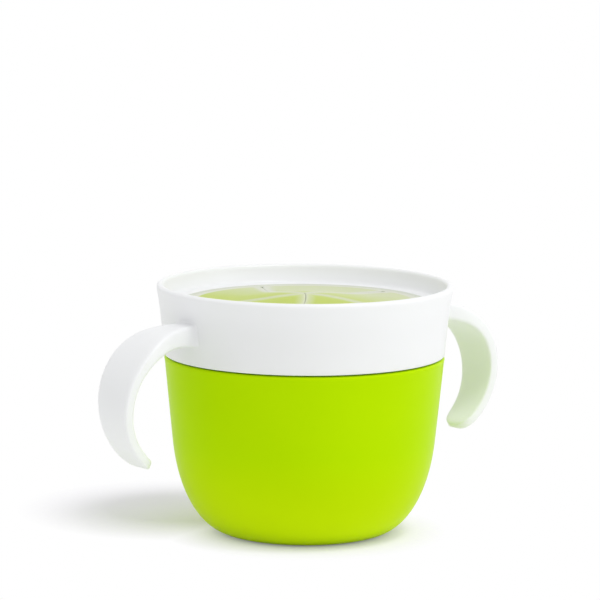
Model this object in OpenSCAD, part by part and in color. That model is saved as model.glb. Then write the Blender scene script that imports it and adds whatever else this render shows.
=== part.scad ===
// Toddler snack container: a round-bellied bowl, a collar that screws down over its neck and
// carries two open-ended hook handles, and a lid insert with five soft flaps that a small hand
// pushes through. Millimetres, +Z up, origin at the centre of the base, handles along X.

/* [Bowl] */
// Radius of the flat base that the bowl stands on
base_r = 22; // [20:0.5:24]
// Radius of the belly, before the outward slope of the wall is added
belly_r = 38; // [36:0.5:39]
// Height over which the base rounds up into the wall
belly_h = 30; // [26:1:34]
// Squareness of the rounded belly (2 is a plain ellipse)
belly_power = 2.2; // [2:0.1:3]
// Outward slope of the wall, in mm per mm of height
wall_slope = 0.1; // [0.08:0.01:0.12]
// Thickness of the bottom and of the wall at the belly
bowl_wall = 2; // [1.6:0.1:2.4]
// Height of the shoulder under the collar
shoulder_z = 55.6; // [55:0.1:55.8]
// Outer radius of the threaded neck
neck_r = 41.4; // [41:0.1:41.5]
// Wall of the neck
neck_wall = 1.6; // [1.4:0.1:1.8]
// Height of the neck's top edge
neck_z = 68.6; // [68:0.1:69]

/* [Collar] */
// Height of the whole container
total_h = 78.1; // [77:0.1:80]
// Outer radius of the rim
rim_r = 46.1; // [45:0.1:47]
// Outer radius at the collar's lower edge
collar_low_r = 43.7; // [43.5:0.1:44]
// Height of the collar's lower edge
collar_z = 56; // [55.9:0.1:56.5]
// Inner radius of the skirt that turns over the neck
skirt_r = 42.15; // [42.1:0.05:42.3]
// Radius of the rounded lip at the rim
lip_r = 1.1; // [0.8:0.1:1.3]
// Inner radius of the shelf that holds the lid insert down
shelf_r = 38.9; // [38.6:0.1:39.4]
// Height of the shelf's top face
shelf_z = 72.4; // [72.2:0.1:72.8]
// Thickness of the shelf
shelf_t = 1.6; // [1.2:0.1:1.6]

/* [Thread] */
// Number of thread starts
thread_starts = 2; // [2:1:2]
// Rise of the thread in one whole turn
thread_lead = 9; // [8.5:0.5:10]
// How far round one start runs, in degrees
thread_sweep = 200; // [120:10:200]
// Height of a thread ridge above its wall
ridge_h = 0.6; // [0.4:0.05:0.6]
// Width of a ridge at its foot
ridge_foot = 2; // [1.4:0.1:2]
// Width of a ridge at its crest
ridge_crest = 0.9; // [0.6:0.1:1.2]

/* [Handles] */
// Radius of the hook's centre line
hook_r = 20.5; // [19:0.1:21]
// Distance of the hook's centre from the container's axis
hook_x = 50.5; // [48:0.1:52]
// Height of the hook's centre
hook_z = 45.2; // [43:0.1:46]
// Angle below the horizontal at which the free end stops
hook_end = 66; // [55:1:75]
// Width of the handle band at its root
root_w = 8.4; // [7:0.1:14]
// Width of the handle band at its widest, on the upper bend
band_w = 17.8; // [15:0.1:20]
// Width of the handle band at its free end
tip_w = 12; // [9:0.1:14]
// Thickness of the band where it leaves the collar
root_t = 6.6; // [6:0.1:8]
// Thickness that the band thins down to along its upper bend
band_t = 4.4; // [3.4:0.1:5]
// Thickness at the free end
tip_t = 2.8; // [2.2:0.1:3.2]

/* [Lid insert] */
// Number of flaps
flap_count = 5; // [5:1:5]
// Thickness of the soft membrane and its flaps
membrane_t = 1.2; // [1:0.1:1.2]
// Height of the membrane's middle at the edge
membrane_z = 71.8; // [71.6:0.1:72]
// How far the flaps rise to the centre
dome_h = 2.4; // [0:0.1:3]
// Radius inside which the flaps begin to rise
dome_r = 26; // [20:1:26]
// Distance of each flap's hinge line from the axis
hinge_d = 26.9; // [26:0.1:27.4]
// Width of the slits between the flaps
slit_w = 0.8; // [0.6:0.1:1.2]
// How far round a slit swirls on its way out, in degrees
slit_swirl = 18; // [0:1:25]
// Direction in which the first slit ends, in degrees from +X
slit_start = 5; // [0:1:71]

/* [Hidden] */
$fn = 96;
fit_gap = 0.3;              // clearance between pieces that turn or slide past each other
flap_step = 360 / flap_count;
shelf_under = shelf_z - shelf_t;
skirt_edge = 0.4;           // chamfer inside the skirt's lower edge
insert_play = 0.1;          // axial play of the insert under the shelf
insert_rim_r = 41.3;        // the insert's rim passes the collar's thread ridges
insert_top_r = shelf_r - fit_gap;
membrane_r = 36.65;
ledge_in_r = 34.9;
plug_r = neck_r - neck_wall - fit_gap;
plug_wall = 1.6;
plug_z = 64;
relief_r = 1.2;             // round end of each slit
flap_root_gap = 0.3;        // a flap stops this far inside its hinge line
ring_root_gap = 0.6;        // and the ring starts this far outside it
thread_segments = 30;
neck_thread_z = 60;         // height of the middle of the neck's ridge at its lower end
collar_thread_z = neck_thread_z - thread_lead / thread_starts / 2;

// ---- outlines worked out from the dimensions above ----

function arc(cx, cz, r, from, to, steps = 6) =
    [for (i = [0 : steps]) let (a = from + (to - from) * i / steps) [cx + r * cos(a), cz + r * sin(a)]];

// A superellipse quarter from the flat base up to the wall, on a wall that leans outwards.
function belly_point(t, r0, r1, z0, slope) =
    let (z = z0 + (belly_h - z0) * (1 - pow(sin(t), 2 / belly_power)))
    [r0 + (r1 - r0) * pow(cos(t), 2 / belly_power) + slope * z, z];

function wall_r(z) = belly_r + wall_slope * z;

// The collar flares gently from its lower edge to the rim.
function collar_r(z) =
    let (u = (z - collar_z) / (total_h - lip_r - collar_z))
    collar_low_r + (rim_r - collar_low_r) * (0.46 * u + 0.54 * u * u);

// Height of the membrane's middle at a radius.
function membrane_mid(r) =
    r >= dome_r ? membrane_z : membrane_z + dome_h * pow(1 - pow(r / dome_r, 2), 2);

// ---- bowl ----

foot_in_r = 17.5;           // inner edge of the ring that the bowl stands on
foot_recess = 0.7;
edge_r = 0.8;               // rounding of the shoulder
neck_edge_r = 0.4;
inner_neck_r = neck_r - neck_wall;
inner_slope = (inner_neck_r - wall_r(belly_h) + bowl_wall) / (neck_z - belly_h);
inner_belly_r = inner_neck_r - inner_slope * neck_z;
inner_base_r = base_r - 1.2;

bowl_outline = concat(
    [[0, foot_recess], [foot_in_r - foot_recess, foot_recess], [foot_in_r, 0]],
    [for (t = [90 : -6 : 0]) belly_point(t, base_r, belly_r, 0, wall_slope)],
    arc(wall_r(shoulder_z) - edge_r, shoulder_z - edge_r, edge_r, 0, 90, 4),
    [[neck_r, shoulder_z]],
    arc(neck_r - neck_edge_r, neck_z - neck_edge_r, neck_edge_r, 0, 90, 3),
    arc(inner_neck_r + neck_edge_r, neck_z - neck_edge_r, neck_edge_r, 90, 180, 3),
    [for (t = [0 : 6 : 90]) belly_point(t, inner_base_r, inner_belly_r, bowl_wall, inner_slope)],
    [[0, bowl_wall]]
);

// One thread start: a trapezoid swept up a helix. side is 1 on the neck and -1 inside the skirt.
module thread_ridge(wall, side, low_z, turn) {
    foot = wall - side * fit_gap;
    sunk = wall - side * fit_gap / 2;
    crest = wall + side * ridge_h;
    // inside the skirt the flats of the sweep would cut inwards, so they are pushed out to the crest
    reach = side < 0 ? 1 / cos(thread_sweep / thread_segments / 2) : 1;
    fade = 3;               // the ridge rises and dies away over this many segments
    points = [
        for (k = [0 : thread_segments])
            let (
                a = turn + thread_sweep * k / thread_segments,
                z = low_z + thread_lead * thread_sweep / 360 * k / thread_segments,
                grow = min(1, k / fade, (thread_segments - k) / fade),
                r = (sunk + (crest - sunk) * grow) * reach
            )
            each [
                [foot * cos(a), foot * sin(a), z - ridge_foot / 2],
                [r * cos(a), r * sin(a), z - ridge_crest / 2],
                [r * cos(a), r * sin(a), z + ridge_crest / 2],
                [foot * cos(a), foot * sin(a), z + ridge_foot / 2]
            ]
    ];
    last = 4 * thread_segments;
    around = [
        for (k = [0 : thread_segments - 1], j = [0 : 3])
            let (p = 4 * k + j, q = 4 * k + (j + 1) % 4)
            each (side > 0 ? [[p, q, q + 4], [p, q + 4, p + 4]] : [[q, p, p + 4], [q, p + 4, q + 4]])
    ];
    ends = side > 0
        ? [[3, 2, 1, 0], [last, last + 1, last + 2, last + 3]]
        : [[0, 1, 2, 3], [last + 3, last + 2, last + 1, last]];
    polyhedron(points, concat(around, ends), convexity = 6);
}

module bowl() {
    color([0.67, 0.85, 0.0]) {
        rotate_extrude() polygon(bowl_outline);
        for (s = [0 : thread_starts - 1])
            thread_ridge(neck_r, 1, neck_thread_z, 360 / thread_starts * s);
    }
}

// ---- collar with its hook handles ----

collar_outline = concat(
    [[skirt_r + skirt_edge, collar_z]],
    arc(collar_low_r - edge_r, collar_z + edge_r, edge_r, -90, 0, 4),
    [for (k = [1 : 9]) let (z = collar_z + 2 + (total_h - lip_r - collar_z - 2) * k / 10) [collar_r(z), z]],
    arc(rim_r - lip_r, total_h - lip_r, lip_r, 0, 180, 10),
    [[rim_r - 3 * lip_r + 0.3, shelf_z + 0.8]],
    arc(rim_r - 3 * lip_r - 0.5, shelf_z + 0.8, 0.8, 0, -90, 4),
    arc(shelf_r + neck_edge_r, shelf_z - neck_edge_r, neck_edge_r, 90, 180, 3),
    [[shelf_r, shelf_under], [skirt_r, shelf_under], [skirt_r, collar_z + skirt_edge]]
);

// The hook's centre line leaves the middle of the collar's wall level, then follows one arc down.
wall_mid_r = 43.2;
straight = hook_x - wall_mid_r;
hook_length = straight + hook_r * (90 + hook_end) * PI / 180;
root_run = 30;              // length over which the root thins down to the band
widen_run = 22;             // length over which the root widens to the band
flare_run = 5;              // length of the last flare into the collar
flare = 0.6;
tip_run = 6.7;              // length over which the free end rounds off

// The band's half thickness and half width, at a run of s mm along the centre line.
function fade(x) = x <= 0 ? 0 : x >= 1 ? 1 : x * x * (3 - 2 * x);
function end_round(s, run) =
    let (u = max(0, (s - hook_length + run) / run)) sqrt(max(0.02, 1 - u * u));
function root_flare(s) = flare * pow(max(0, 1 - s / flare_run), 2);
function half_t(s) =
    (root_t / 2 + (band_t - root_t) / 2 * fade(s / root_run)
        + (tip_t - band_t) / 2 * s / hook_length + root_flare(s)) * end_round(s, tip_run / 3);
function half_w(s) =
    (root_w / 2 + (band_w - root_w) / 2 * fade(s / widen_run)
        + (tip_w - band_w) / 2 * fade((s - widen_run) / (hook_length - widen_run))
        + root_flare(s)) * end_round(s, tip_run);

ring_sides = 20;
band_square = 3.2;          // squareness of the band's section
function corner(v) = sign(v) * pow(abs(v), 2 / band_square);

// Runs along the centre line: close ones at the root, even steps, then close ones round the free end.
stations = concat(
    [0, 1.6, 3.2, 5],
    [for (k = [1 : 17]) 5 + (hook_length - tip_run - 5) * k / 17],
    [for (a = [20 : 17.5 : 90]) hook_length - tip_run * (1 - sin(a))]
);

// The rounded section of the band, square to the centre line at a run of s mm.
function band_section(s) =
    let (
        a = 90 - max(0, s - straight) / hook_r * 180 / PI,
        cx = hook_x + min(0, s - straight) + hook_r * cos(a),
        cz = hook_z + hook_r * sin(a)
    )
    [for (j = [0 : ring_sides - 1])
        let (
            b = 360 * j / ring_sides,
            n = half_t(s) * corner(cos(b))
        )
        [cx + n * cos(a), half_w(s) * corner(sin(b)), cz + n * sin(a)]];

module hook_handle() {
    n = ring_sides;
    last = n * (len(stations) - 1);
    around = [
        for (k = [0 : len(stations) - 2], j = [0 : n - 1])
            let (p = n * k + j, q = n * k + (j + 1) % n)
            each [[p, q, q + n], [p, q + n, p + n]]
    ];
    root_cap = [[for (j = [n - 1 : -1 : 0]) j]];
    tip_cap = [[for (j = [0 : n - 1]) last + j]];
    polyhedron([for (s = stations) each band_section(s)], concat(root_cap, around, tip_cap),
        convexity = 6);
}

module handled_collar() {
    color([0.95, 0.95, 0.94]) {
        rotate_extrude() polygon(collar_outline);
        for (s = [0 : thread_starts - 1])
            thread_ridge(skirt_r, -1, collar_thread_z, 360 / thread_starts * s);
        for (side = [0, 180]) rotate(side) hook_handle();
    }
}

// ---- lid insert: rigid frame, soft ring and flaps ----

frame_outline = [
    [insert_rim_r, neck_z],
    [insert_rim_r, shelf_under - insert_play - 0.3],
    [insert_rim_r - 0.3, shelf_under - insert_play],
    [insert_top_r, shelf_under - insert_play],
    [insert_top_r, membrane_z + membrane_t / 2 - 0.3],
    [insert_top_r - 0.3, membrane_z + membrane_t / 2],
    [membrane_r + 0.05, membrane_z + membrane_t / 2],
    [membrane_r + 0.05, membrane_z - membrane_t / 2],
    [ledge_in_r, membrane_z - membrane_t / 2],
    [ledge_in_r, membrane_z - membrane_t / 2 - 1.2],
    [plug_r - plug_wall, neck_z - 1],
    [plug_r - plug_wall, plug_z],
    [plug_r - 0.5, plug_z],
    [plug_r, plug_z + 1],
    [plug_r, neck_z]
];

module flap_frame() {
    color([0.88, 0.91, 0.82]) rotate_extrude() polygon(frame_outline);
}

// The membrane is flat near its edge and rises to a low dome in the middle.
membrane_steps = [for (k = [0 : 8]) dome_r * k / 8];
membrane_outline = concat(
    [for (r = membrane_steps) [r, membrane_mid(r) - membrane_t / 2]],
    [[membrane_r, membrane_z - membrane_t / 2], [membrane_r, membrane_z + membrane_t / 2]],
    [for (k = [8 : -1 : 0]) let (r = dome_r * k / 8) [r, membrane_mid(r) + membrane_t / 2]]
);

module soft_ring() {
    color([0.82, 0.88, 0.66]) difference() {
        rotate_extrude() polygon([
            [hinge_d - 2, membrane_z - membrane_t / 2], [membrane_r, membrane_z - membrane_t / 2],
            [membrane_r, membrane_z + membrane_t / 2], [hinge_d - 2, membrane_z + membrane_t / 2]
        ]);
        translate([0, 0, membrane_z - membrane_t])
            linear_extrude(2 * membrane_t)
                polygon([for (i = [0 : flap_count - 1])
                    let (a = slit_start + flap_step * i, r = (hinge_d + ring_root_gap) / cos(flap_step / 2))
                    [r * cos(a), r * sin(a)]]);
        for (i = [0 : flap_count - 1]) rotate(slit_start + flap_step * i)
            translate([hinge_d / cos(flap_step / 2), 0, membrane_z - membrane_t])
                cylinder(r = relief_r, h = 2 * membrane_t);
    }
}

// A slit runs out from the centre, swirling to the direction in which it ends.
tip_r = 1.8;
slit_end_r = hinge_d / cos(flap_step / 2);
slit_steps = 8;
function slit_point(k, direction, side) =
    let (
        r = tip_r + (slit_end_r - tip_r) * k / slit_steps,
        a = direction + slit_swirl * (1 - k / slit_steps) + side * asin(slit_w / 2 / r)
    )
    [r * cos(a), r * sin(a)];

module flap(number) {
    from = slit_start + flap_step * (number - 1);
    middle = from + flap_step / 2;
    color([0.86, 0.9, 0.72]) intersection() {
        translate([0, 0, membrane_z - membrane_t]) linear_extrude(dome_h + 2 * membrane_t)
            intersection() {
                polygon(concat(
                    [for (k = [0 : slit_steps]) slit_point(k, from, 1)],
                    [for (k = [slit_steps : -1 : 0]) slit_point(k, from + flap_step, -1)]
                ));
                rotate(middle) translate([0, -membrane_r])
                    square([hinge_d - flap_root_gap, 2 * membrane_r]);
            }
        rotate_extrude() polygon(membrane_outline);
    }
}

bowl();
handled_collar();
flap_frame();
soft_ring();
for (i = [1 : flap_count])
    flap(i);
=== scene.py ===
# %% [markdown]
# # A toddler's snack container, dressed round its imported frame
# The container is a green bowl, a white collar that screws down over the bowl's neck, and a lid insert
# whose soft disc is slit into five flaps. The frame brings every body at its real size and place. Each
# piece below is modelled again, a little finer than the frame's solid and in the same place. The bowl and
# the collar ride on the same bodies as their solids, so that they move as the real pieces do.

import math

import bmesh
import bpy
from mathutils import Matrix, Vector


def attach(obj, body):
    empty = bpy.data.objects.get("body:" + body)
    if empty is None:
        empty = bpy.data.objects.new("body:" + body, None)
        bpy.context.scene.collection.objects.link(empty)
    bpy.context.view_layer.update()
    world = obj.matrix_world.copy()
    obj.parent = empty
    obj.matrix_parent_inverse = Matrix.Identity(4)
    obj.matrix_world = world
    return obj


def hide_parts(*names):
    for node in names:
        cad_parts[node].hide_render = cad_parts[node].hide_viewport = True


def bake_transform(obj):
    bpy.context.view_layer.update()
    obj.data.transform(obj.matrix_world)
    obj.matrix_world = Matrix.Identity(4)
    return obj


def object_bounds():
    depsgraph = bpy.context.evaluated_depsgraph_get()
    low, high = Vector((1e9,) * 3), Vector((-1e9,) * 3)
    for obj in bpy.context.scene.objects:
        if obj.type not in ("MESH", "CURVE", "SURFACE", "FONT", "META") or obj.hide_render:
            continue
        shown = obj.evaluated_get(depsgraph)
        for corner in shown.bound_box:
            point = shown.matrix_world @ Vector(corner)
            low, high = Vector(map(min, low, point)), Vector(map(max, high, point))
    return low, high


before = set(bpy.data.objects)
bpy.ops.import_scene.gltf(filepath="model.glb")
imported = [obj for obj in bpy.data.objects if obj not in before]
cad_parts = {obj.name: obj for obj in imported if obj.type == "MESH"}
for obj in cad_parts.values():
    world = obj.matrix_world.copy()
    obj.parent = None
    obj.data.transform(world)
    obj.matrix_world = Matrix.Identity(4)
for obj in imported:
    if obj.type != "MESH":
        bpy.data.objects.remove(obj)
cad_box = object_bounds()
bpy.ops.object.select_all(action="DESELECT")
MM = 0.001
print("box of the frame, mm:", [[round(v / MM, 1) for v in corner] for corner in cad_box])

# %% [markdown]
# ## The camera
# The photograph was taken from a little above the rim, with one handle turned towards the lens. A
# camera could be placed by eye. Here it comes from measures instead, which makes it repeatable: how
# flat the rim's ellipse is gives the elevation, how much the bowl tapers gives the distance, and
# how short the handles look gives the azimuth.

# %% View direction
VIEW_AZIMUTH = math.radians(-37.2)
VIEW_ELEVATION = math.radians(9.85)
VIEW_DISTANCE = 1.2

container_middle = Vector((0, 0, (cad_box[0][2] + cad_box[1][2]) / 2))
look = Vector((
    -math.sin(VIEW_AZIMUTH) * math.cos(VIEW_ELEVATION),
    math.cos(VIEW_AZIMUTH) * math.cos(VIEW_ELEVATION),
    -math.sin(VIEW_ELEVATION),
))
level_look = Vector((look.x, look.y, 0)).normalized()
view_right = Vector((math.cos(VIEW_AZIMUTH), math.sin(VIEW_AZIMUTH), 0))
view_up = view_right.cross(look)
print("the camera looks along", [round(v, 3) for v in look])

# %% [markdown]
# The container stands low in the photograph, with room above it. A camera could be shifted for
# that. Turning it to aim above the container does nearly the same, and is what a photographer does.
# Where the container's middle lies in the picture, in pixels from its upper left, says how far.

# %% Camera
PICTURE_SIDE = 600
FOCAL_PIXELS = 3849.6
SENSOR_WIDTH = 36
VIEW_ROLL = math.radians(0.45)
MIDDLE_X, MIDDLE_Y = 304.9, 407.0

metres_per_pixel = VIEW_DISTANCE / FOCAL_PIXELS
aim_left = (MIDDLE_X - PICTURE_SIDE / 2) * metres_per_pixel
aim_up = (MIDDLE_Y - PICTURE_SIDE / 2) * metres_per_pixel
aim = container_middle - view_right * aim_left + view_up * aim_up
camera_place = container_middle - look * VIEW_DISTANCE
bpy.ops.object.camera_add(location=camera_place)
camera = bpy.context.object
camera.name = "camera"
turn = (aim - camera_place).to_track_quat("-Z", "Y").to_matrix().to_4x4()
camera.matrix_world = Matrix.Translation(camera_place) @ turn @ Matrix.Rotation(VIEW_ROLL, 4, "Z")
camera.data.sensor_width = SENSOR_WIDTH
camera.data.lens = FOCAL_PIXELS / PICTURE_SIDE * SENSOR_WIDTH
bpy.context.scene.camera = camera
bpy.context.scene.view_settings.view_transform = "Standard"
print(f"lens {camera.data.lens:.0f} mm at {VIEW_DISTANCE} m")

# %% [markdown]
# ## Picking
# A modelling operator acts on whatever is selected, so each step first lets go of everything and
# then says exactly what it takes hold of. By hand that is a click or a box drawn with the mouse.
# Here a rule picks verts, edges or faces by where they are, and still works when a size changes.

# %% Picking by a rule
SELECT_MODES = {"verts": "VERT", "edges": "EDGE", "faces": "FACE"}


def nothing_selected():
    if bpy.context.object and bpy.context.object.mode != "OBJECT":
        bpy.ops.object.mode_set(mode="OBJECT")
    bpy.ops.object.select_all(action="DESELECT")


def only(piece):
    nothing_selected()
    piece.select_set(True)
    bpy.context.view_layer.objects.active = piece


def middle_of(item):
    """The middle of a vert, an edge or a face."""
    if isinstance(item, bmesh.types.BMVert):
        return item.co
    if isinstance(item, bmesh.types.BMEdge):
        return (item.verts[0].co + item.verts[1].co) / 2
    return item.calc_center_median()


def pick(piece, kind, rule):
    """In edit mode, selects the verts, edges or faces whose middle passes the rule."""
    bpy.ops.mesh.select_mode(type=SELECT_MODES[kind])
    bpy.ops.mesh.select_all(action="DESELECT")
    shape = bmesh.from_edit_mesh(piece.data)
    for item in getattr(shape, kind):
        if rule(middle_of(item), item):
            item.select_set(True)
    bmesh.update_edit_mesh(piece.data)


print("can pick", ", ".join(SELECT_MODES))

# %% [markdown]
# ## Turned pieces
# The bowl and the collar are round, as pieces are that come off a lathe or out of a turned mould.
# Spin would sweep a drawn profile round the axis. Here a ring of edges is extruded upwards and
# scaled, again and again, like a potter's hand follows a wall. Every ring then has exactly the same
# number of points, with no seam where a sweep would meet itself.

# %% Turning an outline
def arc(centre_r, centre_z, radius, start, stop, steps=5):
    """Points (r, z) on an arc of the outline, in mm and degrees."""
    angles = [math.radians(start + (stop - start) * i / steps) for i in range(steps + 1)]
    return [(centre_r + radius * math.cos(a), centre_z + radius * math.sin(a)) for a in angles]


def turn_outline(name, outline, segments, start_on_axis=False):
    """Extrudes a ring along the outline's points (r, z) in mm. A closed outline ends where it began."""
    nothing_selected()
    (r, z), rest = outline[0], outline[1:]
    bpy.ops.mesh.primitive_circle_add(
        vertices=segments, radius=r * MM, location=(0, 0, z * MM),
        fill_type="TRIFAN" if start_on_axis else "NOTHING",
    )
    piece = bpy.context.object
    piece.name = piece.data.name = name
    bpy.ops.object.transform_apply(location=True)
    bpy.ops.object.mode_set(mode="EDIT")
    pick(piece, "edges", lambda middle, edge: edge.is_boundary or edge.is_wire)
    for next_r, next_z in rest:
        bpy.ops.mesh.extrude_edges_move(
            TRANSFORM_OT_translate={"value": (0, 0, (next_z - z) * MM)}
        )
        bpy.ops.transform.resize(
            value=(next_r / r, next_r / r, 1), center_override=(0, 0, next_z * MM)
        )
        r, z = next_r, next_z
    if start_on_axis:
        bpy.ops.mesh.edge_face_add()
        bpy.ops.mesh.poke()
    bpy.ops.object.mode_set(mode="OBJECT")
    print(f"{name}: {len(outline)} rings of {segments} points")
    return piece


# %% [markdown]
# A finished piece has its place in its mesh, so that a pattern on it stays put, and its faces point
# outwards. Doubles are merged first, because a shell that isn't closed can't be told inside from
# outside. Shading is smooth over shallow edges and crisp over the rest.

# %% Finishing a piece
SMOOTH_BELOW = 40
WELD = 0.001 * MM


def finish_piece(piece, smooth_below=SMOOTH_BELOW):
    only(piece)
    bpy.ops.object.transform_apply(location=True, rotation=True, scale=True)
    bpy.ops.object.mode_set(mode="EDIT")
    bpy.ops.mesh.select_all(action="SELECT")
    bpy.ops.mesh.remove_doubles(threshold=WELD)
    bpy.ops.mesh.normals_make_consistent(inside=False)
    bpy.ops.object.mode_set(mode="OBJECT")
    bpy.ops.object.shade_smooth_by_angle(angle=math.radians(smooth_below))
    print(f"{piece.name}: {len(piece.data.polygons)} faces")


# %% [markdown]
# ## The bowl
# The bowl is one moulding: a flat foot ring round a shallow recess, a round belly that grows into a
# wall leaning outwards, a shoulder, and the neck that the collar screws on. Its belly could be an
# arc, but the real outline is a little squarer, so it is a superellipse, which one power controls.

# %% Belly of the bowl
FOOT_R, INNER_FOOT_R, BELLY_H, BELLY_POWER = 22, 20.8, 30, 2.2
WALL_R, WALL_SLOPE, BOWL_WALL = 38, 0.1, 2
BELLY_STEP = 3


def belly(angle, foot_r, wall_r, foot_z, slope):
    """A point (r, z) of the belly, from 90 degrees at the foot to 0 where the straight wall starts."""
    a = math.radians(angle)
    z = foot_z + (BELLY_H - foot_z) * (1 - max(0, math.sin(a)) ** (2 / BELLY_POWER))
    return foot_r + (wall_r - foot_r) * max(0, math.cos(a)) ** (2 / BELLY_POWER) + slope * z, z


NECK_R, NECK_TOP, NECK_WALL = 41.4, 68.6, 1.6
inner_neck_r = NECK_R - NECK_WALL
inner_slope = (inner_neck_r - (WALL_R + WALL_SLOPE * BELLY_H) + BOWL_WALL) / (NECK_TOP - BELLY_H)
inner_wall_r = inner_neck_r - inner_slope * NECK_TOP
outside = [belly(a, FOOT_R, WALL_R, 0, WALL_SLOPE) for a in range(90, -1, -BELLY_STEP)]
inside = [belly(a, INNER_FOOT_R, inner_wall_r, BOWL_WALL, inner_slope) for a in range(0, 91, BELLY_STEP)]
print(f"the belly is {outside[-1][0] - inside[0][0]:.1f} mm thick at its top")

# %% [markdown]
# The rest of the outline runs from the recess under the foot, up the outside, over the shoulder and
# the neck's rounded lip, and down the inside to the floor. Small radii are drawn into it. A Bevel
# modifier could make them, but it would also round the edges that have to stay crisp.

# %% Bowl outline
RECESS_R, RECESS_H = 16.4, 0.7
SHOULDER_Z, SHOULDER_ROUND, NECK_FILLET, LIP_ROUND = 55.6, 0.8, 0.35, 0.4
ROUND_SEGMENTS = 192

shoulder_r = WALL_R + WALL_SLOPE * SHOULDER_Z
recess = [(8, RECESS_H), (RECESS_R, RECESS_H), (16.9, 0.6), (17.2, 0.3), (17.5, 0.05), (17.8, 0)]
bowl_outline = (
    recess
    + outside
    + [(WALL_R + WALL_SLOPE * z, z) for z in (35, 40, 45, 50, 54)]
    + arc(shoulder_r - SHOULDER_ROUND, SHOULDER_Z - SHOULDER_ROUND, SHOULDER_ROUND, 0, 90)
    + [(NECK_R + NECK_FILLET, SHOULDER_Z)]
    + arc(NECK_R + NECK_FILLET, SHOULDER_Z + NECK_FILLET, NECK_FILLET, 270, 180, 3)
    + arc(NECK_R - LIP_ROUND, NECK_TOP - LIP_ROUND, LIP_ROUND, 0, 90, 3)
    + arc(inner_neck_r + LIP_ROUND, NECK_TOP - LIP_ROUND, LIP_ROUND, 90, 180, 3)
    + [(inner_wall_r + inner_slope * z, z) for z in (60, 50, 40)]
    + inside
    + [(10, BOWL_WALL)]
)
bowl_piece = turn_outline("bowl_shell", bowl_outline, ROUND_SEGMENTS, start_on_axis=True)
finish_piece(bowl_piece)

# %% [markdown]
# ## The thread
# A collar that turns down over a neck needs a thread. Mouldings like this one have a low ridge with
# sloping flanks, in two starts, so that a short turn lifts the collar far. A ridge could be bent
# along a helix with a Curve modifier. The Screw modifier sweeps a drawn section directly, at exactly
# the lead, so the section is drawn first: a plane, stood up and narrowed at its crest.

# %% Section of a ridge
THREAD_SWEEP, THREAD_LEAD, THREAD_STEPS = 200, 9, 60
RIDGE_HEIGHT, RIDGE_FOOT, RIDGE_CREST, RIDGE_SUNK = 0.55, 2.0, 0.9, 0.3


def ridge_section(name, wall_r, side, low_z):
    """A trapezoid that stands on the wall. side is 1 outside the neck and -1 inside the skirt."""
    nothing_selected()
    bpy.ops.mesh.primitive_plane_add(size=1)
    ridge = bpy.context.object
    ridge.name = name
    bpy.ops.object.mode_set(mode="EDIT")
    bpy.ops.transform.rotate(value=math.pi / 2, orient_axis="X", center_override=(0, 0, 0))
    bpy.ops.transform.resize(value=(RIDGE_HEIGHT + RIDGE_SUNK, 1, RIDGE_FOOT))
    pick(ridge, "verts", lambda at, vert: at.x * side > 0)
    bpy.ops.transform.resize(value=(1, 1, RIDGE_CREST / RIDGE_FOOT), center_override=(0, 0, 0))
    bpy.ops.mesh.select_all(action="SELECT")
    bpy.ops.transform.resize(value=(MM, MM, MM), center_override=(0, 0, 0))
    middle_r = wall_r + side * (RIDGE_HEIGHT - RIDGE_SUNK) / 2
    bpy.ops.transform.translate(value=(middle_r * MM, 0, low_z * MM))
    bpy.ops.object.mode_set(mode="OBJECT")
    return ridge


print(f"{THREAD_LEAD * THREAD_SWEEP / 360:.1f} mm of rise along each ridge")

# %% [markdown]
# A real thread runs out: at both ends its crest sinks into the wall. After the sweep the ends are
# capped, and the crest is lowered there, more and more towards each end. That is a move of a few
# verts along the radius, which has no operator of its own, so it is done in the mesh.

# %% Running a ridge out
RUN_OUT = math.radians(14)
SUNK_END = 0.1


def run_out_share(vert):
    """1 along the ridge, falling to 0 at its two ends."""
    last = math.radians(THREAD_SWEEP)
    angle = math.atan2(vert.co.y, vert.co.x) % (2 * math.pi)
    if angle > (last + 2 * math.pi) / 2:
        angle = 0  # a vert at the very start, which rounding has put just below a full turn
    return max(0, min(1, angle / RUN_OUT, (last - angle) / RUN_OUT))


def close_thread_ends(ridge, wall_r, side):
    only(ridge)
    bpy.ops.object.mode_set(mode="EDIT")
    pick(ridge, "edges", lambda middle, edge: edge.is_boundary)
    bpy.ops.mesh.edge_face_add()
    shape = bmesh.from_edit_mesh(ridge.data)
    for vert in shape.verts:
        radius = math.hypot(vert.co.x, vert.co.y)
        above = (radius / MM - wall_r) * side
        if above > 0:
            height = -SUNK_END + (above + SUNK_END) * run_out_share(vert)
            target = (wall_r + side * height) * MM
            vert.co.x *= target / radius
            vert.co.y *= target / radius
    bmesh.update_edit_mesh(ridge.data)
    bpy.ops.object.mode_set(mode="OBJECT")


print(f"each ridge runs out over {RUN_OUT * NECK_R:.0f} mm")

# %% [markdown]
# The ridges are then made one with the neck by a Boolean union. Left as loose shells they would look
# the same, but they would hide faces inside the wall, and the printed or exported shape would be
# wrong there.

# %% Neck thread
NECK_THREAD_Z = 60
STARTS = 2


def apply_modifier(piece, kind, **settings):
    only(piece)
    modifier = piece.modifiers.new(kind.lower(), kind)
    for name, value in settings.items():
        setattr(modifier, name, value)
    bpy.ops.object.modifier_apply(modifier=modifier.name)


def thread_ridge(name, wall_r, side, low_z, start_angle):
    ridge = ridge_section(name, wall_r, side, low_z)
    apply_modifier(
        ridge, "SCREW", angle=math.radians(THREAD_SWEEP), steps=THREAD_STEPS,
        render_steps=THREAD_STEPS, screw_offset=THREAD_LEAD * THREAD_SWEEP / 360 * MM,
        use_smooth_shade=False,
    )
    close_thread_ends(ridge, wall_r, side)
    ridge.rotation_euler.z = math.radians(start_angle)
    finish_piece(ridge)
    return ridge


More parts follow.
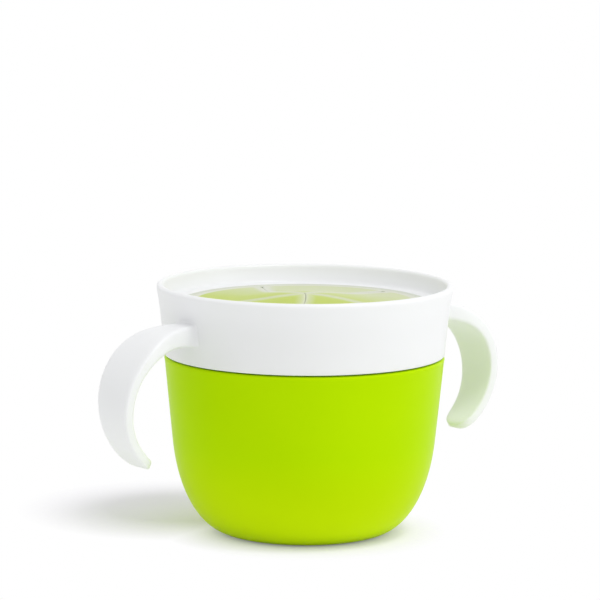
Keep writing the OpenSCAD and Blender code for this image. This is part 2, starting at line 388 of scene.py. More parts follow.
def add_thread(piece, name, wall_r, side, low_z):
    """Makes every start of the thread and fuses it with the piece."""
    turn_between = 360 / STARTS
    ridges = [thread_ridge(f"{name}_{k}", wall_r, side, low_z, turn_between * k) for k in range(STARTS)]
    for ridge in ridges:
        apply_modifier(piece, "BOOLEAN", operation="UNION", object=ridge, solver="EXACT")
        bpy.data.objects.remove(ridge)
    finish_piece(piece)


add_thread(bowl_piece, "neck_ridge", NECK_R, 1, NECK_THREAD_Z)

# %% [markdown]
# ## The collar
# The collar is one moulding with its handles: a band that flares to a rounded rim, a shelf inside
# that clamps the lid insert, and a skirt below the shelf that holds the thread. It could be lathed
# with the Screw modifier, but the handles have to grow out of its wall, so it is turned like the
# bowl, with rows of faces placed where the handles' roots will be.

# %% Flare of the collar
COLLAR_LOW_R, RIM_R, COLLAR_Z, TOTAL_H, LIP_R = 43.7, 46.1, 56, 78.1, 1.1
EVEN_FLARE = 0.46


def collar_r(z):
    """The wall flares from its lower edge to the rim, partly evenly and partly faster and faster."""
    u = (z - COLLAR_Z) / (TOTAL_H - LIP_R - COLLAR_Z)
    return COLLAR_LOW_R + (RIM_R - COLLAR_LOW_R) * (EVEN_FLARE * u + (1 - EVEN_FLARE) * u * u)


print(f"the wall leans out by {collar_r(TOTAL_H - LIP_R) - collar_r(COLLAR_Z):.1f} mm")

# %% [markdown]
# Subdivision Surface will round this outline later. It pulls an edge in more where its points are
# far apart, so pairs of points close together keep the shelf and the skirt's mouth crisp, and the
# rim's arc is drawn a little too large, to come out at its real radius.

# %% Collar outline
SKIRT_R, SHELF_R, SHELF_Z, SHELF_T = 42.15, 38.9, 72.4, 1.6
ROOT_ROWS = (61.0, 64.15, 67.3, 70.45)
RIM_SPARE, CRISP = 0.03, 0.1
COLLAR_SEGMENTS = 96

shelf_low = SHELF_Z - SHELF_T
mouth = (SKIRT_R + 0.4, COLLAR_Z)
lower_edge = [mouth, (COLLAR_LOW_R - 0.6, COLLAR_Z), (COLLAR_LOW_R - 0.12, COLLAR_Z + CRISP)]
wall_rows = (56.6, 58.4, 59.8) + ROOT_ROWS + (71.7, 73.6, 75.4)
inner_wall = [(RIM_R - 2 * LIP_R - 0.25, 75.4), (43.2, 73.9), (42.95, 73.0), (42.6, SHELF_Z + CRISP)]
shelf_top = [(42.0, SHELF_Z), (SHELF_R + 0.8, SHELF_Z), (SHELF_R + 0.15, SHELF_Z - 0.05)]
shelf_edge = [(SHELF_R, SHELF_Z - 0.3), (SHELF_R, shelf_low + CRISP), (SHELF_R + CRISP, shelf_low)]
shelf_root = [(SKIRT_R - CRISP, shelf_low), (SKIRT_R, shelf_low - CRISP)]
skirt = [(SKIRT_R, 68), (SKIRT_R, 62), (SKIRT_R, 56.6), (SKIRT_R + CRISP, 56.2)]
collar_outline = (
    lower_edge
    + [(collar_r(z), z) for z in wall_rows]
    + arc(RIM_R - LIP_R, TOTAL_H - LIP_R, LIP_R + RIM_SPARE, 0, 180, 6)
    + inner_wall + shelf_top + shelf_edge + shelf_root + skirt + [mouth]
)
collar_piece = turn_outline("collar_and_handles", collar_outline, COLLAR_SEGMENTS)

# %% [markdown]
# ## The handles
# Each handle is a flat band that leaves the wall, bends round an arc and ends open, rounded like a
# tongue. It could be a curve with a bevel, but that would be a second shell stuck to the wall. A
# patch of the wall's own faces is pulled out instead, so wall and handle are one skin, as in the
# mould. First its path: a straight run outwards, then most of a half circle.

# %% Path of a hook
HOOK_R, HOOK_X, HOOK_Z, HOOK_END = 20.5, 50.5, 45.2, 63
WALL_MID_R = 43.2

straight_run = HOOK_X - WALL_MID_R
hook_length = straight_run + HOOK_R * math.radians(90 + HOOK_END)


def band_place(s):
    """The middle, outward direction and angle of the band's section, a run of s mm along the hook."""
    angle = math.radians(90) - max(0, s - straight_run) / HOOK_R
    out = Vector((math.cos(angle), 0, math.sin(angle)))
    centre = Vector((HOOK_X + min(0, s - straight_run), 0, HOOK_Z)) + out * HOOK_R
    return centre, out, angle


print(f"each hook is {hook_length:.1f} mm long along its middle")

# %% [markdown]
# Then its size. A handle is stoutest at the root, broad and thin where the fingers go, and narrower
# at the tip. Each change fades in over a length of its own. The tip's outline is a superellipse,
# so it is round without being pointed.

# %% Size of the band
ROOT_W, BAND_W, TIP_W, WIDEN_OVER, ROUND_OFF_W = 8.4, 17.8, 11.4, 22, 6.4
ROOT_T, BAND_T, TIP_T, THIN_OVER, ROUND_OFF_T = 6.6, 4.4, 3.0, 30, 3
END_POWER, LAST_SHARE = 2.4, 0.006


def fade(x):
    """0 below 0, 1 above 1, and a smooth step between them."""
    x = min(1, max(0, x))
    return x * x * (3 - 2 * x)


def end_round(s, run):
    """1 along the hook, falling like the side of a superellipse over the last run of it."""
    u = max(0, (s - hook_length + run) / run)
    return max(LAST_SHARE, 1 - u ** END_POWER) ** (1 / END_POWER)


def band_size(s):
    """Half the thickness and half the width of the band, a run of s mm along the hook."""
    thick = ROOT_T + (BAND_T - ROOT_T) * fade(s / THIN_OVER) + (TIP_T - BAND_T) * s / hook_length
    wide = ROOT_W + (BAND_W - ROOT_W) * fade(s / WIDEN_OVER)
    wide += (TIP_W - BAND_W) * fade((s - WIDEN_OVER) / (hook_length - WIDEN_OVER))
    return thick / 2 * end_round(s, ROUND_OFF_T), wide / 2 * end_round(s, ROUND_OFF_W)


print("width along the hook, mm:", [round(2 * band_size(s)[1], 1) for s in range(0, 61, 10)])

# %% [markdown]
# The stations are where the band gets a row of edges: evenly along it, and closer and closer over
# the tip, where the outline turns fastest.

# %% Stations along a hook
ROOT_RUN, FIRST_RUN, TIP_RUN, EVEN_STEPS = 2.4, 4.2, 6.7, 15
TIP_ANGLES = (25, 45, 62, 78, 90)

even_length = hook_length - FIRST_RUN - TIP_RUN
stations = [FIRST_RUN + even_length * k / EVEN_STEPS for k in range(EVEN_STEPS + 1)]
stations += [hook_length - TIP_RUN * (1 - math.sin(math.radians(b))) for b in TIP_ANGLES]
print(len(stations), "stations")

# %% [markdown]
# The patch is inset and pulled straight out once. Wall faces lie on a curve, so this first section
# is flattened, and then scaled from the size it has to the size it needs, with a little to spare,
# which gives the root a fillet once the surface is subdivided.

# %% Root of a hook
ROOT_INSET, ROOT_STEP = 0.9, 1.1
ROOT_SPARE_T, ROOT_SPARE_W = 0.2, 0.25


def fit_section(old, new, centre, out):
    """Scales the picked section from one (half thickness, half width) to another."""
    across = Vector((0, 1, 0))
    bpy.ops.transform.resize(
        value=(new[0] / old[0], new[1] / old[1], 1), center_override=centre * MM,
        orient_matrix=(out, across, out.cross(across)), orient_matrix_type="LOCAL", orient_type="LOCAL",
    )


def pull_root(piece):
    """Pulls the picked patch out of the wall and gives it the root's size, which it returns."""
    bpy.ops.mesh.inset(thickness=ROOT_INSET * MM, depth=0)
    bpy.ops.mesh.extrude_region_move(TRANSFORM_OT_translate={"value": (ROOT_STEP * MM, 0, 0)})
    centre, out, angle = band_place(ROOT_RUN)
    bpy.ops.transform.resize(value=(0, 1, 1), center_override=centre * MM)
    shape = bmesh.from_edit_mesh(piece.data)
    ys = [v.co.y for v in shape.verts if v.select]
    zs = [v.co.z for v in shape.verts if v.select]
    patch_size = (max(zs) - min(zs)) / 2 / MM, max(ys) / MM
    half_thick, half_wide = band_size(ROOT_RUN)
    root_size = half_thick + ROOT_SPARE_T, half_wide + ROOT_SPARE_W
    fit_section(patch_size, root_size, centre, out)
    print("the patch is", [round(2 * v, 1) for v in patch_size], "mm before it is fitted")
    return root_size


# %% [markdown]
# From the root on, each station is one extrude, a move along the straight run or a turn about the
# middle of the hook's arc, and one scale. The operators keep the new faces selected, so the next
# station goes on from there.

# %% Pulling a hook
def pull_hook(piece):
    """Extrudes the picked patch of the wall along the hook, one station at a time."""
    size = pull_root(piece)
    here, angle = ROOT_RUN, band_place(ROOT_RUN)[2]
    for s in stations:
        bpy.ops.mesh.extrude_region_move(TRANSFORM_OT_translate={"value": (0, 0, 0)})
        step = min(s, straight_run) - min(here, straight_run)
        bpy.ops.transform.translate(value=(step * MM, 0, 0))
        centre, out, new_angle = band_place(s)
        bpy.ops.transform.rotate(
            value=-(angle - new_angle), orient_axis="Y", center_override=(HOOK_X * MM, 0, HOOK_Z * MM)
        )
        fit_section(size, band_size(s), centre, out)
        here, angle, size = s, new_angle, band_size(s)


print(f"a hook is pulled from {ROOT_RUN} mm to {stations[-1]:.1f} mm")

# %% [markdown]
# Only one half of the collar is needed, so the turned wall is cut in two. The patch for the root is
# picked by its rows, by how near it lies to the axis that points at the handle, and by its radius,
# which leaves the skirt's faces behind it alone.

# %% Hook on one half
ROOT_SEGMENTS, OUTSIDE_OF_SKIRT = 4, 0.8
patch_half_angle = math.pi * ROOT_SEGMENTS / COLLAR_SEGMENTS


def is_root_face(middle, face):
    in_front = middle.x > 0 and abs(math.atan2(middle.y, middle.x)) < patch_half_angle
    in_rows = ROOT_ROWS[0] < middle.z / MM < ROOT_ROWS[-1]
    return in_front and in_rows and math.hypot(middle.x, middle.y) / MM > SKIRT_R + OUTSIDE_OF_SKIRT


only(collar_piece)
bpy.ops.object.mode_set(mode="EDIT")
bpy.ops.mesh.select_all(action="SELECT")
bpy.ops.mesh.bisect(plane_co=(0, 0, 0), plane_no=(1, 0, 0), clear_inner=True, threshold=1e-7)
pick(collar_piece, "faces", is_root_face)
pull_hook(collar_piece)
bpy.ops.object.mode_set(mode="OBJECT")
print(f"half a collar with one hook: {len(collar_piece.data.polygons)} faces")

# %% [markdown]
# The other half could be pulled in the same way. Mirror makes it exactly alike. Subdivision Surface
# then rounds the band's edges and the fillets at the roots, which no bevel would give so evenly.

# %% Both halves
apply_modifier(collar_piece, "MIRROR", use_axis=(True, False, False), merge_threshold=WELD)
apply_modifier(collar_piece, "SUBSURF", levels=2, render_levels=2)
finish_piece(collar_piece)

# %% [markdown]
# The inside of the skirt carries the matching thread. It starts half a pitch below the neck's, so
# the ridges of the one lie between those of the other. It is fused on last, because Subdivision
# Surface would melt its edges.

# %% Collar thread
collar_thread_z = NECK_THREAD_Z - THREAD_LEAD / STARTS / 2
add_thread(collar_piece, "collar_ridge", SKIRT_R, -1, collar_thread_z)

# %% [markdown]
# ## The lid's soft membrane
# The lid insert holds a thin disc of soft, translucent elastomer. Slits that swirl to the centre cut
# it into five flaps, and a round relief hole at the end of each slit keeps it from tearing. The
# slits could be cut with a Boolean, but cut faces wouldn't bend evenly. So one fifth of the disc is
# built from rows of faces that follow its own outline, and copied.

# %% Outline of a flap
FLAP_COUNT, HINGE_D = 5, 26.9
SLIT_W, SLIT_SWIRL, RELIEF_R, TIP_R = 0.16, 18, 0.7, 0.4
HALF_FLAP = math.pi / FLAP_COUNT
slit_end_r = HINGE_D / math.cos(HALF_FLAP)


def on_side(r, gap=0):
    """The corner (x, y) of a flap at radius r, where half of the slit is gap wide."""
    angle = HALF_FLAP - math.asin(gap / r)
    return r * math.cos(angle), r * math.sin(angle)


def on_hole(degrees):
    """A point of the relief hole's edge, going round it from the outside inwards."""
    angle = HALF_FLAP - math.radians(degrees)
    x, y = on_side(slit_end_r)
    return x + RELIEF_R * math.cos(angle), y + RELIEF_R * math.sin(angle)


def swirl_at(x, y):
    """How far the slits have turned at this place, in radians: nothing at their ends, most at the tip."""
    inwards = 1 - (math.hypot(x, y) - TIP_R) / (slit_end_r - TIP_R)
    return math.radians(SLIT_SWIRL) * max(0, inwards)


print(f"the slits end {slit_end_r:.1f} mm from the centre")

# %% [markdown]
# A row is a straight line across the flap: how far it lies from the centre, and where its corner
# is. Two rows straighten the disc's round edge. The next ones go round the relief hole, each a
# little further in for every degree. The rest lie along the slits, closer together at their ends.

# %% Rows of a flap
OUTER_ROWS = (28.5, 28.25)
HOLE_ROW_START, HOLE_ROW_FALL = 28.05, 0.0107
HOLE_DEGREES = range(0, 161, 16)
SLIT_RADII = (31.6, 30.6, 29.4, *range(28, 5, -2), 4.2, 2.6, 1.2, TIP_R)

rows = [(x, on_side(x / math.cos(HALF_FLAP))) for x in OUTER_ROWS]
rows += [(HOLE_ROW_START - HOLE_ROW_FALL * a, on_hole(a)) for a in HOLE_DEGREES]
slit_corners = [on_side(r, SLIT_W / 2) for r in SLIT_RADII]
rows += [(corner[0], corner) for corner in slit_corners]
print(len(rows), "rows from the edge of the disc to the tip")

# %% [markdown]
# A wedge could be cut out of a whole disc. Here one fifth of a circle is kept and extruded inwards
# once, which gives the disc's round edge a narrow, even row of faces to start from.

# %% Edge of one fifth
MEMBRANE_R, EDGE_BAND, ARC_STEPS = 36.6, 0.6, 24

nothing_selected()
bpy.ops.mesh.primitive_circle_add(vertices=ARC_STEPS * FLAP_COUNT, radius=MEMBRANE_R * MM)
flap_shape = bpy.context.object
flap_shape.name = "flap_shape"
bpy.ops.object.mode_set(mode="EDIT")
pick(flap_shape, "edges", lambda middle, edge: abs(math.atan2(middle.y, middle.x)) > HALF_FLAP)
bpy.ops.mesh.delete(type="EDGE")
pick(flap_shape, "edges", lambda middle, edge: True)
bpy.ops.mesh.extrude_edges_move(TRANSFORM_OT_translate={"value": (0, 0, 0)})
band_r = MEMBRANE_R - EDGE_BAND
bpy.ops.transform.resize(
    value=(band_r / MEMBRANE_R, band_r / MEMBRANE_R, 1), center_override=(0, 0, 0)
)
print(f"{ARC_STEPS} edges on the arc of one fifth")

# %% [markdown]
# Each further row is one extrude. It is unturned, moved in, flattened to a straight line as long as
# the flap is wide there, given its two corners, and turned as far as the slits swirl.

# %% From the edge to the tip
distance, half_width, swirl = rows[0][0], band_r * math.sin(HALF_FLAP), 0
for new_distance, corner in rows:
    bpy.ops.mesh.extrude_edges_move(TRANSFORM_OT_translate={"value": (0, 0, 0)})
    bpy.ops.transform.rotate(value=swirl, orient_axis="Z", center_override=(0, 0, 0))
    bpy.ops.transform.translate(value=((new_distance - distance) * MM, 0, 0))
    bpy.ops.transform.resize(
        value=(0, corner[1] / half_width, 1), center_override=(new_distance * MM, 0, 0)
    )
    flap_mesh = bmesh.from_edit_mesh(flap_shape.data)
    row = sorted((v for v in flap_mesh.verts if v.select), key=lambda v: v.co.y)
    row[0].co.x = row[-1].co.x = corner[0] * MM
    bmesh.update_edit_mesh(flap_shape.data)
    distance, half_width, swirl = new_distance, corner[1], swirl_at(*corner)
    bpy.ops.transform.rotate(value=-swirl, orient_axis="Z", center_override=(0, 0, 0))
print(f"the tip is turned by {math.degrees(swirl):.0f} degrees")

# %% [markdown]
# The disc bulges up a little, which stiffens it. The height is set by a formula from the radius,
# because then all five fifths meet exactly. Solidify gives the thickness, half above and half below.

# %% Dome and thickness
MEMBRANE_Z, MEMBRANE_T, DOME_H, DOME_R = 71.8, 1.2, 2.4, 26
FLAP_SMOOTH_BELOW = 50


def dome(r):
    """Height of the membrane's middle at radius r."""
    return MEMBRANE_Z + (DOME_H * (1 - (r / DOME_R) ** 2) ** 2 if r < DOME_R else 0)


flap_mesh = bmesh.from_edit_mesh(flap_shape.data)
for vert in flap_mesh.verts:
    vert.co.z = dome(vert.co.to_2d().length / MM) * MM
bmesh.update_edit_mesh(flap_shape.data)
bpy.ops.object.mode_set(mode="OBJECT")
apply_modifier(flap_shape, "SOLIDIFY", thickness=MEMBRANE_T * MM, offset=0)
finish_piece(flap_shape, smooth_below=FLAP_SMOOTH_BELOW)

# %% [markdown]
# Light enters the elastomer at its cut edges, so it looks paler there. A picture could be painted
# for that. Instead each point of the mesh stores how near it is to a slit, and the material reads
# it. The paint then stays put when the flap bends.

# %% Rim of the flap
RIM_SHARE = "rim_share"
RIM_REACH = 3.1 * MM
BY_SLIT, BY_HOLE = 0.15, 0.1


def on_slit(point):
    """Whether a point of the flap lies on one of its two slits."""
    x, y = point.x / MM, point.y / MM
    angle = math.atan2(y, x) - swirl_at(x, y)
    hole = on_side(slit_end_r)
    on_edge = (HALF_FLAP - abs(angle)) * math.hypot(x, y) < BY_SLIT
    by_hole = math.hypot(x - hole[0], abs(y) - hole[1]) < RELIEF_R + BY_HOLE
    return by_hole or on_edge and math.hypot(x, y) < slit_end_r


def paint_rim(piece, is_rim, reach):
    """Stores 1 at the rim's points, fading to 0 a reach away from them."""
    points = [v.co for v in piece.data.vertices]
    rim = [p for p in points if is_rim(p)]
    shares = [max(0, 1 - min((p - q).length for q in rim) / reach) for p in points]
    attribute = piece.data.attributes.new(RIM_SHARE, "FLOAT", "POINT")
    attribute.data.foreach_set("value", shares)
    print(f"{piece.name}: {len(rim)} of {len(points)} points on the rim")


paint_rim(flap_shape, on_slit, RIM_REACH)

# %% [markdown]
# The fifth is copied round the centre. An array would keep the copies in one mesh, but each is made a
# piece of its own, one for each flap.

# %% Five flaps
FIRST_SLIT = 5

flap_pieces = []
for number in range(1, FLAP_COUNT + 1):
    only(flap_shape)
    bpy.ops.object.duplicate()
    flap = bpy.context.object
    flap.name = flap.data.name = f"soft_flap_{number}"
    direction = math.radians(FIRST_SLIT) + HALF_FLAP * (2 * number - 1)
    flap.rotation_euler.z = direction
    only(flap)
    bpy.ops.object.transform_apply(rotation=True)
    flap_pieces.append((flap, Vector((math.cos(direction), math.sin(direction), 0))))
    print(f"{flap.name} points {math.degrees(direction):.0f} degrees round")
bpy.data.objects.remove(flap_shape)

# %% [markdown]
# ## Materials as expressions
# A material is a small calculation, and a tree of nodes drawn by hand is hard to read in a script.
# `Wire` wraps a node's output and overloads Python's operators, so that shader maths is written as
# plain arithmetic, with a number on either side.

# %% Wires
class Wire:
    def __init__(self, graph, socket):
        self.graph, self.socket = graph, socket

    def maths(self, operation, *values, **settings):
        inputs = dict(enumerate(values))
        return self.graph.add("ShaderNodeMath", {"operation": operation, **settings}, inputs)

    def __add__(self, other):
        return self.maths("ADD", self, other)

    def __radd__(self, other):
        return self.maths("ADD", other, self)

    def __sub__(self, other):
        return self.maths("SUBTRACT", self, other)

    def __rsub__(self, other):
        return self.maths("SUBTRACT", other, self)

    def __mul__(self, other):
        return self.maths("MULTIPLY", self, other)

    def __rmul__(self, other):
        return self.maths("MULTIPLY", other, self)

    def __truediv__(self, other):
        return self.maths("DIVIDE", self, other)

    def __rtruediv__(self, other):
        return self.maths("DIVIDE", other, self)

    def clamped(self):
        """The value, held between 0 and 1."""
        return self.maths("ADD", self, 0, use_clamp=True)


print("a wire can be added, subtracted, multiplied, divided and clamped")

# %% [markdown]
# Every other node comes from one method, `add`: its type, then its settings, then its inputs, each a
# value or a wire. Settings come first, because some of them change which sockets a node has. A
# pattern takes Object coordinates, so that it belongs to the piece and moves with it.

# %% Graphs
class Graph:
    def __init__(self, owner):
        """owner is a material or a world, and starts with no nodes."""
        self.owner = owner
        owner.use_nodes = True
        self.tree = owner.node_tree
        self.tree.nodes.clear()

    def add(self, kind, settings=None, inputs=None, output=0):
        node = self.tree.nodes.new(kind)
        for name, value in (settings or {}).items():
            setattr(node, name, value)
        for name, value in (inputs or {}).items():
            if isinstance(value, Wire):
                self.tree.links.new(value.socket, node.inputs[name])
            else:
                node.inputs[name].default_value = value
        return Wire(self, node.outputs[output]) if node.outputs else node

    def place(self):
        return self.add("ShaderNodeTexCoord", output="Object")

    def vector_maths(self, operation, first, *second, output="Value"):
        inputs = dict(enumerate((first, *second)))
        return self.add("ShaderNodeVectorMath", {"operation": operation}, inputs, output)

    def mixed(self, share, colour, other):
        """One colour where the share is 0, fading to the other where it is 1."""
        inputs = {"Factor": share, 6: colour, 7: other}
        return self.add("ShaderNodeMix", {"data_type": "RGBA"}, inputs, output=2)

    def noise(self, scale, detail):
        inputs = {"Vector": self.place(), "Scale": scale, "Detail": detail, "Roughness": 0.5}
        return self.add("ShaderNodeTexNoise", inputs=inputs)

    def bump(self, height, distance):
        inputs = {"Height": height, "Distance": distance, "Strength": 1}
        return self.add("ShaderNodeBump", inputs=inputs)

    def surface(self, shader):
        """Closes a material or a world with its output node."""
        kind = "World" if isinstance(self.owner, bpy.types.World) else "Material"
        self.add("ShaderNodeOutput" + kind, inputs={"Surface": shader})
        print(f"{self.owner.name}: {len(self.tree.nodes)} nodes")
        return self.owner


def new_material(name):
    return Graph(bpy.data.materials.new(name))


def linear(red, green, blue):
    """A colour as read off a screen, 0 to 255, in the linear light that the shader works in."""
    parts = [c / 255 for c in (red, green, blue)]
    return tuple(c / 12.92 if c <= 0.04045 else ((c + 0.055) / 1.055) ** 2.4 for c in parts) + (1,)


print("middle grey on a screen is", round(linear(128, 128, 128)[0], 2), "in linear light")

# %% [markdown]
# ## Moulded plastics
# The bowl, the collar and the lid's ring are injection-moulded polypropylene: smooth and softly
# glossy. Perfectly even plastic looks like a drawing, so three faint noises break it up: the flow of
# the melt in the colour and the gloss, a slow ripple from cooling, and a fine skin. A picture of
# plastic could be wrapped round instead, but noise has no seams and no end.

# %% Moulded surface
FLOW_SCALE, SKIN_SCALE, RIPPLE_SCALE = 28, 900, 60
FLOW_CONTRAST, FLOW_GLOSS, SKIN_GLOSS = 1.6, 0.08, 0.05
RIPPLE_PART = 0.7
SURFACE_DEPTH = 0.03 * MM


def moulded_surface(graph, colour, flow_colour, roughness):
    """The inputs that the melt's flow, the ripple and the skin give to the shader."""
    flow = graph.noise(FLOW_SCALE, detail=3)
    skin = graph.noise(SKIN_SCALE, detail=2)
    ripple = graph.noise(RIPPLE_SCALE, detail=1)
    flow_share = ((flow - 0.5) * FLOW_CONTRAST + 0.5).clamped()
    return {
        "Base Color": graph.mixed(flow_share, colour, flow_colour),
        "Roughness": roughness + (flow - 0.5) * FLOW_GLOSS + (skin - 0.5) * SKIN_GLOSS,
        "Normal": graph.bump(ripple * RIPPLE_PART + skin * (1 - RIPPLE_PART), SURFACE_DEPTH),
    }


def plastic_shader(graph, surface, depth, ior=1.49, shine=(1, 1, 1, 1)):
    """A shader of this plastic, into which light goes to the given depth."""
    return graph.add("ShaderNodeBsdfPrincipled", inputs={
        **surface,
        "IOR": ior,
        "Specular Tint": shine,
        "Subsurface Weight": 0.3,
        "Subsurface Radius": (1.0, 1.0, 1.0),
        "Subsurface Scale": depth,
    })


print(f"the surface is {SURFACE_DEPTH / MM:.2f} mm rough at most")

# %% [markdown]
# The collar is a dense, slightly cool white. The ring of the insert is frosted. Its colour is painted
# light and painted shade: a little green for the bowl showing through it, and greyer than the white for a
# painted shadow over the lid. A colour and a base roughness of its own are all that each needs.

# %% White and frosted plastic
WHITE_DEPTH, FROSTED_DEPTH = 3 * MM, 1.2 * MM

graph = new_material("white_polypropylene")
white_surface = moulded_surface(
    graph, linear(238, 239, 241), linear(236, 237, 238), roughness=0.36
)
white_plastic = graph.surface(plastic_shader(graph, white_surface, WHITE_DEPTH))

graph = new_material("frosted_polypropylene")
# Painted light and shade: green for the bowl seen through the ring, grey for a shadow over the lid.
frosted_surface = moulded_surface(
    graph, linear(206, 210, 197), linear(202, 207, 190), roughness=0.42
)
frosted_plastic = graph.surface(plastic_shader(graph, frosted_surface, FROSTED_DEPTH))

# %% [markdown]
# The bowl lets some light through. Where its wall curves under, towards the foot, it is yellower and
# lighter, and that is a painted light. Real light through a coloured wall would need many bounces to show
# that, so the colour is mixed by height. Its shine is tinted green and weak, because a white one would
# wash the green out.

# %% Green plastic
FOOT_LIGHT_TOP, FOOT_LIGHT_REACH = 30 * MM, 24 * MM
GREEN_DEPTH, GREEN_IOR, GREEN_SHINE = 3 * MM, 1.09, (0.5, 1, 0, 1)

graph = new_material("green_polypropylene")
green_surface = moulded_surface(graph, linear(184, 225, 4), linear(180, 222, 0), roughness=0.32)
above_foot = graph.add("ShaderNodeSeparateXYZ", inputs={"Vector": graph.place()}, output="Z")
# Painted light: the colour grows yellower and lighter towards the foot.
foot_light_share = ((FOOT_LIGHT_TOP - above_foot) / FOOT_LIGHT_REACH).clamped()
green_surface["Base Color"] = graph.mixed(
    foot_light_share, green_surface["Base Color"], linear(198, 228, 6)
)
green_plastic = graph.surface(
    plastic_shader(graph, green_surface, GREEN_DEPTH, ior=GREEN_IOR, shine=GREEN_SHINE)
)

# %% [markdown]
# ## The soft elastomer
# The membrane is matt and lets light through. Its colours are painted light and painted shade. It is
# painted green where the bowl shows through its middle, and paler in three places: along the slits, where
# light enters the cut edges, on the flat band at its edge, and on the side away from the camera, a
# painted light from that side. Both colours are also darker than the elastomer itself, a painted shadow
# over the lid. Transmission could show the bowl for real, but such a thin, cloudy layer needs far too
# many rays to come out clean. Mixing two colours does it here.

# %% Where the elastomer is pale
BAND_INNER_R, BAND_FADE = 34.1 * MM, 0.5 * MM
PAINTED_LIGHT_SIDE, PALE_OVER, PALE_START, PALE_MOST = (0.85, 0.52, 0), 22 * MM, 0.05, 0.62
CLOUD_SCALE, CLOUD_CONTRAST = 45, 0.25
RIM_STRENGTH = 0.8


def pale_share(graph, cloud):
    """0 where the elastomer is green, 1 where it is pale."""
    level_place = graph.vector_maths("MULTIPLY", graph.place(), (1, 1, 0), output="Vector")
    radius = graph.vector_maths("LENGTH", level_place)
    on_band = ((radius - BAND_INNER_R) / BAND_FADE).clamped()
    # Painted light: the membrane is paler towards one side, as if lit from there.
    sideways = graph.vector_maths("DOT_PRODUCT", graph.place(), PAINTED_LIGHT_SIDE)
    painted_side_light = (sideways / PALE_OVER + PALE_START).clamped() * PALE_MOST
    by_rim = graph.add("ShaderNodeAttribute", {"attribute_name": RIM_SHARE}, output="Fac")
    share = by_rim * RIM_STRENGTH + on_band + painted_side_light + (cloud - 0.5) * CLOUD_CONTRAST
    return share.clamped()


print(f"the pale band starts {BAND_INNER_R / MM:.1f} mm from the centre")

# %% [markdown]
# A cloud in the colour and a fine grain in the gloss keep the membrane from looking like glass.

# %% Elastomer
GRAIN_SCALE, GRAIN_GLOSS, GRAIN_PART = 1400, 0.12, 0.4

graph = new_material("soft_elastomer")
cloud = graph.noise(CLOUD_SCALE, detail=3)
grain = graph.noise(GRAIN_SCALE, detail=2)
soft_elastomer = graph.surface(graph.add("ShaderNodeBsdfPrincipled", inputs={
    # Painted light and shade: green for the bowl's light through the membrane, both colours darker for a
    # shadow over the lid.
    "Base Color": graph.mixed(
        pale_share(graph, cloud), linear(182, 199, 62), linear(211, 214, 197)
    ),
    "Roughness": 0.42 + (grain - 0.5) * GRAIN_GLOSS,
    "Normal": graph.bump(grain * GRAIN_PART + cloud * (1 - GRAIN_PART), SURFACE_DEPTH),
    "IOR": 1.45,
    "Subsurface Weight": 0.25,
    "Subsurface Radius": (1.0, 1.0, 0.6),
    "Subsurface Scale": 1.5 * MM,
}))

# %% [markdown]
# Each new piece gets its material.
# The ring of the insert keeps the frame's solid, which is fine enough, and only gets the finish.

# %% Dress the pieces
def dress(piece, material):
    piece.data.materials.clear()
    piece.data.materials.append(material)
    print(f"{piece.name} wears {material.name}")


dress(bowl_piece, green_plastic)
dress(collar_piece, white_plastic)
for flap, outwards in flap_pieces:
    dress(flap, soft_elastomer)
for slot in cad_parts["flap_frame"].material_slots:
    slot.material = frosted_plastic

# %% [markdown]
# ## The floor
# The photograph has a plain white ground with one soft shadow. A white floor would come out grey in
# the light that suits the container. So the camera sees pure white on it, except near the base and
# the shadow, where it sees a lit floor, and every other ray meets an ordinary pale floor, which
# bounces light onto the bowl.

# %% Lit and white parts of the floor
nothing_selected()
bpy.ops.mesh.primitive_grid_add(x_subdivisions=8, y_subdivisions=8, size=8)
floor = bpy.context.object
floor.name = "floor"
graph = new_material("pale_floor")
floor_place = graph.place()


def white_beyond(middle, near, far):
    """0 near the given point of the floor, 1 far from it."""
    reach = graph.vector_maths("DISTANCE", floor_place, middle)
    return ((reach - near) / (far - near)).clamped()


SHADOW_LEFT, SHADOW_BEHIND = 42 * MM, 32 * MM
shadow_middle = view_right * -SHADOW_LEFT + level_look * SHADOW_BEHIND
off_base = white_beyond((0, 0, 0), 20 * MM, 45 * MM)
off_shadow = white_beyond(shadow_middle, 20 * MM, 50 * MM)
white_share = off_base.maths("MINIMUM", off_base, off_shadow)
print("the shadow's middle, mm:", [round(v / MM) for v in shadow_middle])

# %% [markdown]
# The three floors are then mixed in two steps: lit and white by the share just measured, and that
# against the ordinary pale floor by whether a ray comes straight from the camera. The lit floor is
# a little violet, which cancels the yellow-green light that the bowl throws on it.

# %% Floor material
PALE, LIT, WHITE = (0.98, 0.98, 0.98, 1), (0.93, 0.90, 0.99, 1), (1, 1, 1, 1)

pale = graph.add("ShaderNodeBsdfDiffuse", inputs={"Color": PALE})
lit = graph.add("ShaderNodeBsdfDiffuse", inputs={"Color": LIT})
white = graph.add("ShaderNodeEmission", inputs={"Color": WHITE, "Strength": 1})
seen = graph.add("ShaderNodeMixShader", inputs={0: white_share, 1: lit, 2: white})
is_camera = graph.add("ShaderNodeLightPath", output="Is Camera Ray")
floor_shader = graph.add("ShaderNodeMixShader", inputs={0: is_camera, 1: pale, 2: seen})
floor.data.materials.append(graph.surface(floor_shader))

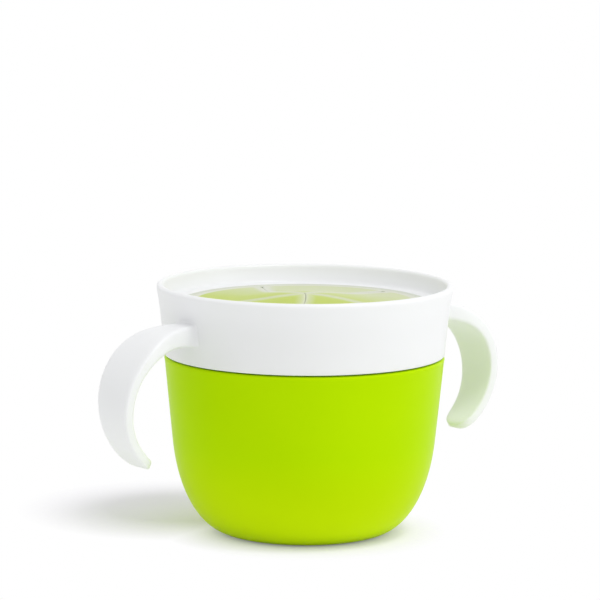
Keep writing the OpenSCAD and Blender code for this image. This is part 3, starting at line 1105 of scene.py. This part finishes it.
# %% [markdown]
# ## The sky
# An even white sky is the soft light of a product photograph. It has to look white to the camera and
# in reflections, but as a light it is a little weaker, so that top faces stay below white.

# %% Sky
SKY_LIGHT = 0.79

world = bpy.data.worlds.new("even_sky")
bpy.context.scene.world = world
sky = Graph(world)
is_camera = sky.add("ShaderNodeLightPath", output="Is Camera Ray")
is_glossy = sky.add("ShaderNodeLightPath", output="Is Glossy Ray")
seen_white = is_camera.maths("MAXIMUM", is_camera, is_glossy)
strength = SKY_LIGHT + seen_white * (1 - SKY_LIGHT)
sky.surface(sky.add("ShaderNodeBackground", inputs={"Color": WHITE, "Strength": strength}))

# %% [markdown]
# ## The lamps
# The shadow lies on the left and a little behind, so the key light is on the right, in front and
# high. It could be a sun, but a small panel near by gives the shadow its soft edge. A second, wide
# and weak panel from the far right lifts that side of the bowl.

# %% Lamps
def soft_panel(name, right, front, up, size, watts):
    """An area light placed as the camera sees it, in metres, and aimed at the container."""
    place = container_middle + view_right * right - level_look * front + Vector((0, 0, up))
    bpy.ops.object.light_add(type="AREA", location=place)
    lamp = bpy.context.object
    lamp.name = name
    lamp.data.shape = "DISK"
    lamp.data.size = size
    lamp.data.energy = watts
    lamp.rotation_euler = (container_middle - place).to_track_quat("-Z", "Y").to_euler()
    print(f"{name}: {watts} W, {(container_middle - place).length:.2f} m away")


soft_panel("key", right=0.40, front=0.28, up=1.0, size=0.3, watts=3.5)
soft_panel("side_fill", right=1.10, front=0.34, up=0.14, size=0.9, watts=1.7)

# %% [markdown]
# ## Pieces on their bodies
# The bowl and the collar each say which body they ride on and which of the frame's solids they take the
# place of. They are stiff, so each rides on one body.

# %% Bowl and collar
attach(bowl_piece, "bowl")
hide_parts("bowl")
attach(collar_piece, "collar")
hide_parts("handled_collar")
print("the bowl and the collar ride on their bodies")

# %% [markdown]
# A fifth of the membrane is soft. Each fifth keeps its place in its own mesh, and the frame's flap and
# ring solids are hidden.

for number, (flap, outwards) in enumerate(flap_pieces, start=1):
    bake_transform(flap)
    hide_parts(f"flap_{number}", "soft_ring")
